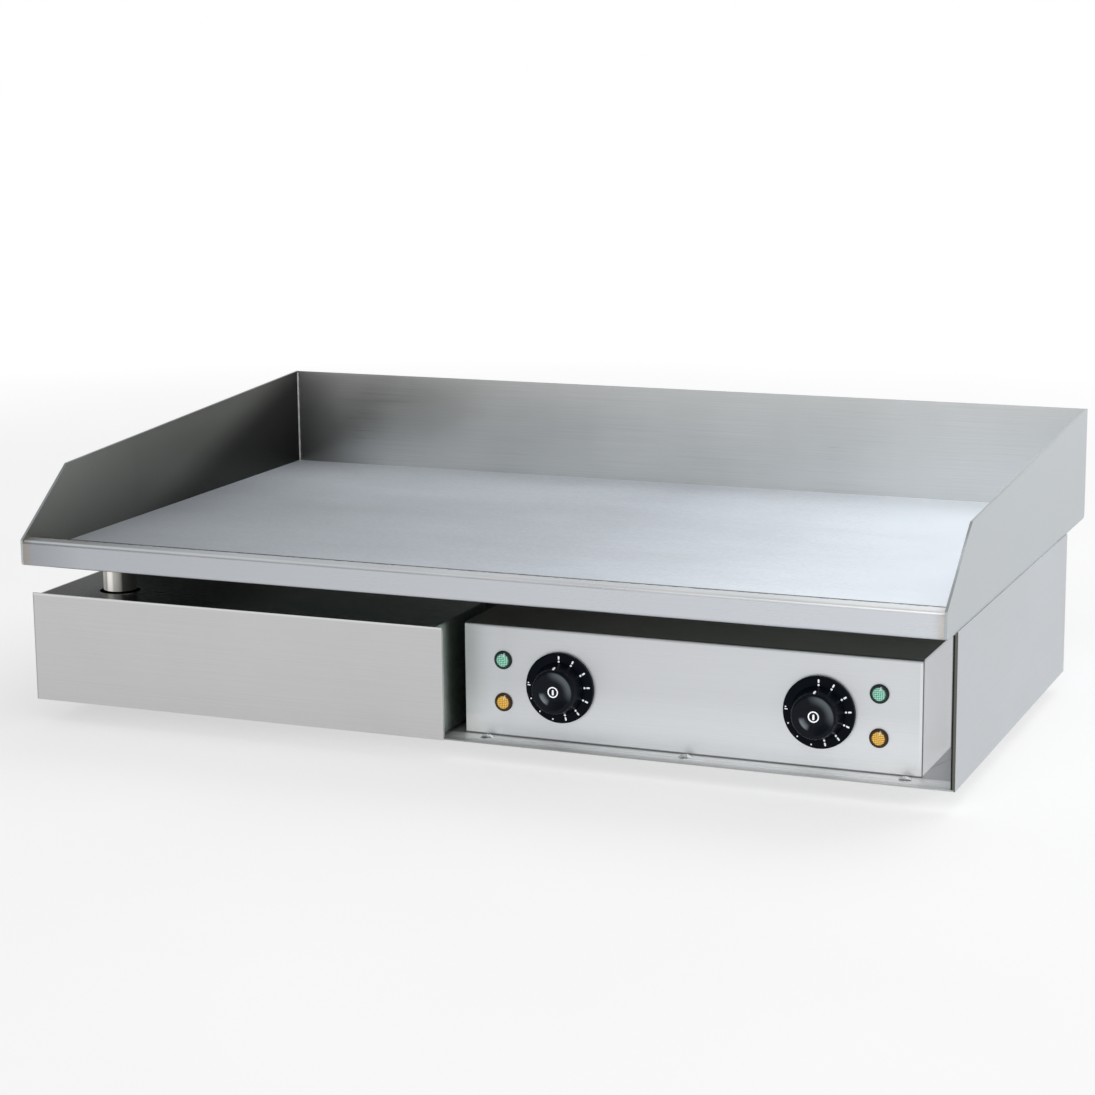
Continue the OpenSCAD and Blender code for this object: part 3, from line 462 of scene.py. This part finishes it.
looks = {
    "polished_plate": steel("polished_plate", (0.70, 0.75, 0.81), 0.55, "x", 0.03, 0.02, 0.1, 0.0, 0.35,
                            (0.49, 1.2), plate_marks_and_painted_light),
    "splash_steel": steel("splash_steel", (0.54, 0.545, 0.535), 0.34, "x", extra=splash_painted_shade),
    "rail_steel": steel("rail_steel", (0.56, 0.585, 0.62), 0.30, "x", 0.02, 0.02, 0.03, 0.3, 1.0, (0.84, 1.2),
                        rail_welds_and_painted_light),
    "drain_steel": steel("drain_steel", (0.78, 0.76, 0.72), 0.35, "z", 0.03, 0.02, 0.03, 0.0, 0.2,
                         extra=tube_gleam),
    "body_steel": steel("body_steel", (0.54, 0.565, 0.59), 0.36, "y", extra=shaded_return),
    "base_steel": steel("base_steel", (0.60, 0.61, 0.61), 0.46, "x", metallic=0.6, light_sweep=(0.74, 2.2),
                        extra=end_shade),
    "drawer_steel": steel("drawer_steel", (0.605, 0.605, 0.605), 0.36, "x", 0.04, 0.04, 0.08,
                          extra=drawer_front_edge_lines),
    # green-tinted and darker than drawer_steel; the darkness is painted shade for the box and lid under the
    # tray
    "drawer_inner_steel": steel("drawer_inner_steel", (0.36, 0.42, 0.37), 0.30, "x", extra=lid_tone_and_highlight),
    "panel_steel": steel("panel_steel", (0.60, 0.615, 0.63), 0.42, "x", 0.03, 0.03, 0.06, 0.3, 0.8,
                         (0.97, 1.32), panel_smudges_and_painted_light),
    "knob_plastic": plastic("knob_plastic", (0.0022, 0.0045, 0.0085), 0.38, 0.12, level=0.06),
    "green_lens": lens("green_lens", *LENS_COLORS["green"]),
    "amber_lens": lens("amber_lens", *LENS_COLORS["amber"]),
    "lamp_rim": rim_plastic("lamp_rim"),
    "screw_steel": steel("screw_steel", (0.75, 0.75, 0.75), 0.18, "x", 0.02, 0.02, 0.03, 0.0),
    "zinc_steel": steel("zinc_steel", (0.52, 0.53, 0.55), 0.34, "x", 0.05, 0.08, 0.1, 0.0),
    "brass_parts": steel("brass_parts", (0.74, 0.56, 0.27), 0.30, "y", 0.04, 0.06, 0.1, 0.0),
    "foot_rubber": plastic("foot_rubber", (0.022, 0.022, 0.022), 0.65, 0.4),
    "element_sheath": steel("element_sheath", (0.20, 0.19, 0.18), 0.5, "x", 0.08, 0.1, 0.1, 0.0),
    "insulation": plastic("insulation", (0.80, 0.78, 0.72), 0.9, 0.5),
    "ceramic_body": plastic("ceramic_body", (0.78, 0.75, 0.68), 0.35, 0.1),
    "shaft_steel": steel("shaft_steel", (0.66, 0.66, 0.66), 0.25, "x", 0.03, 0.03, 0.05, 0.0),
    "copper_tube": steel("copper_tube", (0.70, 0.38, 0.24), 0.3, "x", 0.04, 0.08, 0.05, 0.0),
    "reset_red": plastic("reset_red", (0.55, 0.03, 0.02), 0.25, 0.05, 0.3),
    "wire_sleeve": plastic("wire_sleeve", (0.42, 0.05, 0.04), 0.5, 0.1),
    "cable_rubber": plastic("cable_rubber", (0.02, 0.02, 0.02), 0.55, 0.3),
    "gland_plastic": plastic("gland_plastic", (0.03, 0.03, 0.032), 0.4, 0.2),
}
cap_look = cap_plastic()
# the print glows faintly (emission): painted light that keeps it bright
dial_print = plastic("dial_print", (0.86, 0.88, 0.90), 0.45, 0.05, glow=0.35)
weld_metal = steel("weld_metal", (0.46, 0.45, 0.43), 0.32, "z", 0.08, 0.10, 0.2, 0.0)
slot_of = {part["node"]: part["material_slot"] for part in frame["record"]["subparts"]}
for name, node in nodes.items():
    for i in range(len(node.data.materials)):
        node.material_slots[i].link = "OBJECT"
        node.material_slots[i].material = looks[slot_of[name]]

# ---------- softened edges on the CAD sheets ----------

EDGE_RADIUS = {
    "splash_left": 0.5, "splash_right": 0.5, "splash_back": 0.5, "front_rail": 0.2, "grease_gutter": 0.3,
    "griddle_plate": 0.5, "side_panel_left": 0.3, "side_panel_right": 0.3, "back_panel": 0.25,
    "front_bulkhead": 0.25, "base_pan": 0.3, "drawer_front": 0.4, "drawer_box": 0.3, "drawer_lid": 0.3,
    "control_housing": 0.35, "drain_tube": 0.4, "foot_front_left": 0.8,
    "foot_front_right": 0.8, "foot_rear_left": 0.8, "foot_rear_right": 0.8, "cable_gland": 0.4,
    "bonding_stud": 0.3, "base_stiffener": 0.3, "drawer_runner_left": 0.3, "drawer_runner_right": 0.3,
}
for name, radius in EDGE_RADIUS.items():
    node = nodes[name]
    weld = node.modifiers.new("weld", "WELD")
    weld.merge_threshold = 1e-6
    bevel = node.modifiers.new("edges", "BEVEL")
    bevel.width = radius * MM
    bevel.segments = 2
    bevel.limit_method = "ANGLE"
    bevel.angle_limit = math.radians(50)
    bevel.use_clamp_overlap = True
    weighted = node.modifiers.new("normals", "WEIGHTED_NORMAL")
    weighted.keep_sharp = False

# ---------- pieces built in place of plainer CAD nodes ----------


class Build:
    """A mesh in millimetres from a point on a panel: u to the right, v up, h out of the panel towards -Y."""

    def __init__(self, origin):
        self.mesh = bmesh.new()
        self.origin = Vector(origin)

    def point(self, u, v, h):
        return self.mesh.verts.new(self.origin + Vector((u, -h, v)) * MM)

    def skin(self, rows, slot=0, closed=True, smooth=True):
        """Quads between successive rows of points; a row of one point makes a fan."""
        for a, b in zip(rows, rows[1:]):
            count = max(len(a), len(b))
            for i in range(count if closed else count - 1):
                j = (i + 1) % count
                corners = [a[i % len(a)], a[j % len(a)], b[j % len(b)], b[i % len(b)]]
                corners = list(dict.fromkeys(corners))
                if len(corners) > 2:
                    face = self.mesh.faces.new(corners)
                    face.material_index = slot
                    face.smooth = smooth

    def turn(self, profile, segments=64, slot=0, centre=(0, 0), lift=None):
        """Turned shape from (radius, height) pairs; lift adds height as a function of the place."""
        rows = []
        for radius, height in profile:
            if radius == 0:
                rows.append([self.point(*centre, height)])
                continue
            row = []
            for i in range(segments):
                angle = 2 * math.pi * i / segments
                u, v = radius * math.cos(angle), radius * math.sin(angle)
                extra = lift(u, v, radius) if lift else 0
                row.append(self.point(centre[0] + u, centre[1] + v, height + extra))
            rows.append(row)
        self.skin(rows, slot)

    def pad(self, centre, angle, length, width, low, high, slot=1, corners=6, tilt=0.0):
        """Raised mark with round ends: length runs outward along a clock angle; tilt lowers its outer end."""
        turn = math.radians(angle)
        out, side = (math.sin(turn), math.cos(turn)), (math.cos(turn), -math.sin(turn))
        outline = []
        for end in (1, -1):
            for i in range(corners + 1):
                a = math.pi * (i / corners - 0.5)
                outline.append((end * ((length - width) / 2 + width / 2 * math.cos(a)),
                                end * width / 2 * math.sin(a)))
        rows = []
        for size, height in ((1.0, low), (1.0, high - 0.05), (0.86, high)):
            rows.append([self.point(centre[0] + out[0] * l * size + side[0] * w * size,
                                    centre[1] + out[1] * l * size + side[1] * w * size,
                                    height - tilt * l) for l, w in outline])
        self.skin(rows, slot, smooth=False)
        for row in (rows[0], rows[-1]):
            face = self.mesh.faces.new(row)
            face.material_index = slot

    def ring(self, centre, radius, band, low, high, slot=1, segments=40):
        inner, outer = radius - band / 2, radius + band / 2
        rows = [(inner, low), (inner, high), (outer, high), (outer, low), (inner, low)]
        self.turn(rows, segments, slot, centre)

    def block(self, low, high, slot=0):
        corner = [self.point(u, v, h) for h in (low[2], high[2]) for v in (low[1], high[1])
                  for u in (low[0], high[0])]
        for quad in ((0, 1, 3, 2), (4, 6, 7, 5), (0, 4, 5, 1), (2, 3, 7, 6), (0, 2, 6, 4), (1, 5, 7, 3)):
            self.mesh.faces.new([corner[i] for i in quad]).material_index = slot

    def finish(self, name, body, materials, replaced=()):
        bmesh.ops.remove_doubles(self.mesh, verts=self.mesh.verts, dist=1e-7)
        bmesh.ops.recalc_face_normals(self.mesh, faces=self.mesh.faces)
        data = bpy.data.meshes.new(name)
        self.mesh.to_mesh(data)
        self.mesh.free()
        for material in materials:
            data.materials.append(material)
        made = bpy.data.objects.new(name, data)
        bpy.context.scene.collection.objects.link(made)
        data.set_sharp_from_angle(angle=math.radians(38))
        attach(made, body)
        if replaced:
            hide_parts(*replaced)
        return made


def middle(node):
    low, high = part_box(node)
    return (low + high) / 2


DIAL_R = (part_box("dial_ring_left")[1].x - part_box("dial_ring_left")[0].x) / 2 / MM
RING_T = (PANEL_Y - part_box("dial_ring_left")[0].y) / MM
REACH = (PANEL_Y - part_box("knob_left")[0].y) / MM
CAP_R = (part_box("knob_left")[1].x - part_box("knob_left")[0].x) / 2 / MM
LAMP_RIM = (PANEL_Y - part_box("lamp_holders")[0].y) / MM
LAMP_R = (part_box("lamp_holders")[1].x - middle("green_lens_right").x) / MM
LONG_MARKS = (0, 28, 57, 84, 111, 140, 167)  # clock angles in degrees
DOT_MARKS = (192, 219.5, 247)


def dial_ring(side):
    """Scale ring with printed dashes and dots."""
    centre = middle("dial_ring_" + side)
    b = Build((centre.x, PANEL_Y, centre.z))
    groove = CAP_R + 0.5
    b.turn([(6.2, 0), (6.2, RING_T), (groove - 0.4, RING_T), (groove, RING_T - 0.35), (groove + 0.4, RING_T),
            (DIAL_R - 1.3, RING_T), (DIAL_R - 0.5, RING_T - 0.2), (DIAL_R, RING_T - 0.8), (DIAL_R, 0.2),
            (DIAL_R - 0.2, 0), (6.2, 0)], 96)

    def at(angle, radius):
        return radius * math.sin(math.radians(angle)), radius * math.cos(math.radians(angle))

    low, high = RING_T - 0.1, RING_T + 0.1
    for angle in LONG_MARKS:
        b.pad(at(angle, DIAL_R * 0.875), angle, 2.7, 1.25, low, high)
        b.pad(at(angle, DIAL_R * 0.768), angle, 1.6, 1.5, low, high)
    for angle in DOT_MARKS:
        b.pad(at(angle, DIAL_R * 0.91), angle, 1.25, 1.05, low, high)
    b.pad(at(272, DIAL_R * 0.90), 272, 2.4, 0.8, low, high)
    b.pad(at(276, DIAL_R * 0.92), 276, 1.2, 1.0, low, high)
    b.finish("scale_ring_" + side, "griddle", [looks["knob_plastic"], dial_print],
             ["dial_ring_" + side])


def knob(side):
    """Turning cap with a dished face, a pointer on its shoulder and a ring mark in the middle."""
    centre = middle("knob_" + side)
    b = Build((centre.x, PANEL_Y, centre.z))
    foot, face = RING_T + 0.5, CAP_R * 0.8
    bore = [(0, 12), (3.05, 12), (3.05, 1.0), (5.6, 1.0), (5.6, foot)]
    skirt = [(CAP_R - 0.5, foot), (CAP_R, foot + 0.4), (CAP_R, foot + 1.9), (CAP_R - 0.25, foot + 2.6),
             (CAP_R - 0.9, foot + 4.6), (face + 2.1, REACH - 4.6), (face + 1.35, REACH - 1.9)]
    rim = [(face + 0.9, REACH - 1.0), (face + 0.2, REACH - 0.4), (face - 0.7, REACH - 0.05),
           (face - 1.3, REACH), (face - 1.9, REACH - 0.15)]
    dish = [(face - 2.8, REACH - 0.55), (face - 4.2, REACH - 1.15), (face - 5.8, REACH - 1.7),
            (face - 7.6, REACH - 2.15), (face - 9.2, REACH - 2.42), (0, REACH - 2.5)]
    b.turn(bore + skirt + rim + dish, 96)
    well = REACH - 2.46
    b.ring((0, 0), 3.65, 0.9, well - 0.1, well + 0.16)
    b.pad((0, -0.2), 0, 4.2, 1.5, well - 0.1, well + 0.12)
    shoulder, slope = REACH - 3.6, 6.2 / 3.0
    b.pad((0, CAP_R - 2.0), 0, 2.3, 1.5, shoulder - 1.0, shoulder + 0.3, tilt=slope)
    b.finish("turning_cap_" + side, "knob_" + side, [cap_look, dial_print],
             ["knob_" + side])


def lamp_lens_piece(node):
    """Domed lens with a cross-hatch of small pyramids on its face."""
    low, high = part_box(node)
    centre = (low + high) / 2
    b = Build((centre.x, PANEL_Y, centre.z))
    radius, pitch, steps = (high.x - low.x) / 2 / MM, 1.9, 26
    top, seat = (PANEL_Y - low.y) / MM, LAMP_RIM + 0.05

    def hatch(u, v, r):
        if r > radius - 0.5:
            return 0
        a, c = (u + v) / math.sqrt(2) / pitch, (u - v) / math.sqrt(2) / pitch
        return 0.22 * (abs((a % 1) - 0.5) + abs((c % 1) - 0.5)) * 2 - 0.44

    rows = [(0, -6.0), (5.2, -6.0), (5.2, seat), (radius, seat), (radius, seat + 0.25)]
    for i in range(1, steps):
        r = radius * (1 - i / steps)
        rows.append((r, seat + 0.3 + (top - seat - 0.3) * (1 - (r / radius) ** 2)))
    b.turn(rows + [(0, top - 0.3)], 96, lift=lambda u, v, r: hatch(u, v, r) if r < 5.19 else 0)
    glass = lens(node + "_glass", *LENS_COLORS[node.split("_")[0]], (centre.x, centre.z), radius * MM)
    b.finish(node + "_faceted", "griddle", [glass], [node])


def lamp_holder_piece(centres):
    """Holders of the four lamps: rounded front rim, barrel through the panel, two terminal tabs."""
    b = Build((0, PANEL_Y, 0))
    for centre in centres:
        u, v = centre.x / MM, centre.z / MM
        b.turn([(0, -6), (5.3, -6), (5.3, LAMP_RIM), (LAMP_R - 0.9, LAMP_RIM),
                (LAMP_R - 0.35, LAMP_RIM - 0.15), (LAMP_R, LAMP_RIM - 0.6), (LAMP_R, 0), (6, 0), (6, -18),
                (0, -18)], 64, centre=(u, v))
        for s in (-1, 1):
            b.block((u + s * 3 - 1.5, v - 0.4, -25), (u + s * 3 + 1.5, v + 0.4, -17.5))
    b.finish("lamp_bezels", "griddle", [looks["lamp_rim"]], ["lamp_holders"])


def upright_screws():
    """Domed screw heads with a cross recess on the base ledge, shanks below."""
    low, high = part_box("ledge_screws")
    xs = [v.co.x for v in nodes["ledge_screws"].data.vertices]
    shank_r, head_r, wall_h, steps, segments = 2.0, 5.0, 0.35, 15, 48
    slot_half, slot_reach, slot_depth = 0.42, 2.3, 1.0
    left, right_end = min(xs) + head_r * MM, max(xs) - head_r * MM
    inner = [x for x in xs if left + 0.02 < x < right_end - 0.02]
    centres = [left, (min(inner) + max(inner)) / 2, right_end]
    foot, rise = (low.z - BASE_TOP) / MM, (high.z - BASE_TOP) / MM
    profile = [(0, foot), (shank_r, foot), (shank_r, 0.0), (head_r, 0.0), (head_r, wall_h)]
    for i in range(1, steps):
        r = head_r * (1 - i / steps)
        profile.append((r, wall_h + (rise - wall_h) * (1 - (r / head_r) ** 2)))
    profile.append((0, rise))
    b = Build((0, 0, 0))
    for k, x in enumerate(centres):
        spin = math.radians(17 + 31 * k)
        origin = Vector((x, (low.y + high.y) / 2, BASE_TOP))
        rows = []
        for r, h in profile:
            row = []
            for i in range(segments if r else 1):
                a = 2 * math.pi * i / segments
                u, v = r * math.cos(a), r * math.sin(a)
                along, across = abs(r * math.cos(a + spin)), abs(r * math.sin(a + spin))
                sunk = h > 0.5 and min(along, across) < slot_half and max(along, across) < slot_reach
                spot = Vector((u, v, h - (slot_depth if sunk else 0)))
                row.append(b.mesh.verts.new(origin + spot * MM))
            rows.append(row)
        b.skin(rows)
    b.finish("domed_screws", "griddle", [looks["screw_steel"]], ["ledge_screws"])


def corner_welds():
    """Rippled weld beads up the two back corners of the splash guards."""
    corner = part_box("splash_back")[1]
    sheet, ripple = 2.0, 0.7
    inner_x, inner_y = corner.x / MM, corner.y / MM - sheet
    low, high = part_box("griddle_plate")[1].z / MM, corner.z / MM - 1.0
    count = int((high - low) / ripple)
    b = Build((0, 0, 0))
    for sign in (-1, 1):
        rows = []
        for i in range(count + 1):
            z = low + (high - low) * i / count
            size = 1.0 + 0.22 * math.sin(i * 2.1) + 0.1 * math.sin(i * 0.37)
            row = []
            for k in range(7):
                a = math.pi / 2 * k / 6
                bulge = 1.0 - 0.28 * math.sin(2 * a)
                row.append(b.point(sign * (inner_x - size * bulge * math.cos(a)), z,
                                   -(inner_y - size * bulge * math.sin(a))))
            row.append(b.point(sign * inner_x, z, -inner_y))
            rows.append(row)
        b.skin(rows)
        b.mesh.faces.new(rows[0])
        b.mesh.faces.new(rows[-1])
    b.finish("corner_welds", "griddle", [weld_metal])


for side in ("left", "right"):
    dial_ring(side)
    knob(side)
    for colour in ("green", "amber"):
        lamp_lens_piece(f"{colour}_lens_{side}")
lamp_holder_piece([middle(f"{c}_lens_{s}") for c in ("green", "amber") for s in ("left", "right")])
upright_screws()
corner_welds()

# ---------- stage ----------


def plain_mesh(name, points, faces, material):
    mesh = bpy.data.meshes.new(name)
    mesh.from_pydata(points, [], faces)
    mesh.materials.append(material)
    made = bpy.data.objects.new(name, mesh)
    bpy.context.scene.collection.objects.link(made)
    return made


floor_shader = Shader("pale_floor")
spot = floor_shader.position()
grey = floor_shader.span(floor_shader.noise(spot, (1, 1, 1), 3.0), 0.3, 0.7, 0.43, 0.45)
reach = floor_shader.add("ShaderNodeVectorMath", operation="LENGTH")
floor_shader.join(spot, reach.inputs[0])
glow = floor_shader.span(reach.outputs["Value"], 1.0, 4.0, 0.56, 1.0, smooth=True)
floor_shader.set(Base_Color=floor_shader.mix(1.0, rgba((1, 1, 1)), grey, "MULTIPLY"), Roughness=0.9,
                 Specular_IOR_Level=0.0, Emission_Color=rgba((1, 1, 1)), Emission_Strength=glow)
FLOOR_HALF, FLOOR_Z = 12.0, -0.0005
floor = plain_mesh("floor", [(FLOOR_HALF * u, FLOOR_HALF * v, FLOOR_Z)
                             for u, v in ((-1, -1), (1, -1), (1, 1), (-1, 1))],
                   [(0, 1, 2, 3)], floor_shader.material)


def soft_light(name, place, target, size, power, color=(1, 1, 1)):
    data = bpy.data.lights.new(name, "AREA")
    data.shape = "SQUARE"
    data.size = size
    data.energy = power
    data.color = color
    lamp = bpy.data.objects.new(name, data)
    bpy.context.scene.collection.objects.link(lamp)
    lamp.location = place
    lamp.rotation_euler = (Vector(target) - Vector(place)).to_track_quat("-Z", "Y").to_euler()


soft_light("key", (0.8, 1.2, 1.9), (0.1, 0.0, 0.12), 1.5, 14, (0.96, 0.98, 1.0))
soft_light("front_fill", (0.5, -1.8, 2.0), (0.0, 0.0, 0.05), 1.6, 9)
soft_light("right_fill", (2.2, -0.6, 0.9), (0.35, -0.1, 0.08), 1.0, 5, (0.95, 0.98, 1.0))

# Brightness round the object at degrees from the front: dark at the left, bright behind at the right and in
# front; the camera itself sees white
SURROUND = [(-180, 1.10), (-150, 0.80), (-90, 0.60), (-45, 0.55), (-5, 0.95), (12, 0.80), (30, 0.16),
            (90, 0.12), (140, 0.20), (158, 0.55), (172, 1.10), (180, 1.10)]
world = bpy.data.worlds.new("studio")
bpy.context.scene.world = world
world.use_nodes = True
w = Tree(world.node_tree)
out = w.add("ShaderNodeOutputWorld")
back = w.add("ShaderNodeBackground")
direction = w.add("ShaderNodeTexCoord").outputs["Generated"]
turn = w.math("ARCTAN2", w.math("MULTIPLY", w.axis(direction, "X"), -1.0),
              w.math("MULTIPLY", w.axis(direction, "Y"), -1.0))
ramp = w.ramp(w.span(turn, -math.pi, math.pi),
              [(degrees / 360 + 0.5, rgba((level, level, level))) for degrees, level in SURROUND])
ramp.color_ramp.interpolation = "EASE"
around = ramp.outputs["Color"]
height = w.span(w.axis(direction, "Z"), 0.25, 0.75, smooth=True)
overhead = w.span(w.axis(direction, "X"), -0.6, 0.6, 0.45, 0.75, smooth=True)
dome = w.mix(height, around, overhead)
seen = w.add("ShaderNodeLightPath").outputs["Is Camera Ray"]
w.join(w.mix(seen, dome, rgba((1, 1, 1))), back.inputs["Color"])
w.join(back.outputs[0], out.inputs["Surface"])

# ---------- camera ----------

AZIMUTH, ELEVATION, ROLL = math.radians(22.422), math.radians(11.593), math.radians(-0.577)
EYE = (0.7888, -1.9614, 0.5568)
FOCAL_MM, SENSOR_MM = 88.54, 36.0
forward = Vector((-math.sin(AZIMUTH) * math.cos(ELEVATION), math.cos(AZIMUTH) * math.cos(ELEVATION),
                  -math.sin(ELEVATION)))
right = Vector((math.cos(AZIMUTH), math.sin(AZIMUTH), 0))
top = right.cross(forward)
right_rolled = math.cos(ROLL) * right + math.sin(ROLL) * top
top_rolled = -math.sin(ROLL) * right + math.cos(ROLL) * top
camera_data = bpy.data.cameras.new("camera")
camera_data.sensor_width = SENSOR_MM
camera_data.lens = FOCAL_MM
camera_data.clip_end = 100
camera = bpy.data.objects.new("camera", camera_data)
bpy.context.scene.collection.objects.link(camera)
turned = Matrix((right_rolled, top_rolled, -forward)).transposed().to_4x4()
camera.matrix_world = Matrix.Translation(EYE) @ turned
bpy.context.scene.camera = camera
bpy.context.scene.view_settings.view_transform = "Standard"
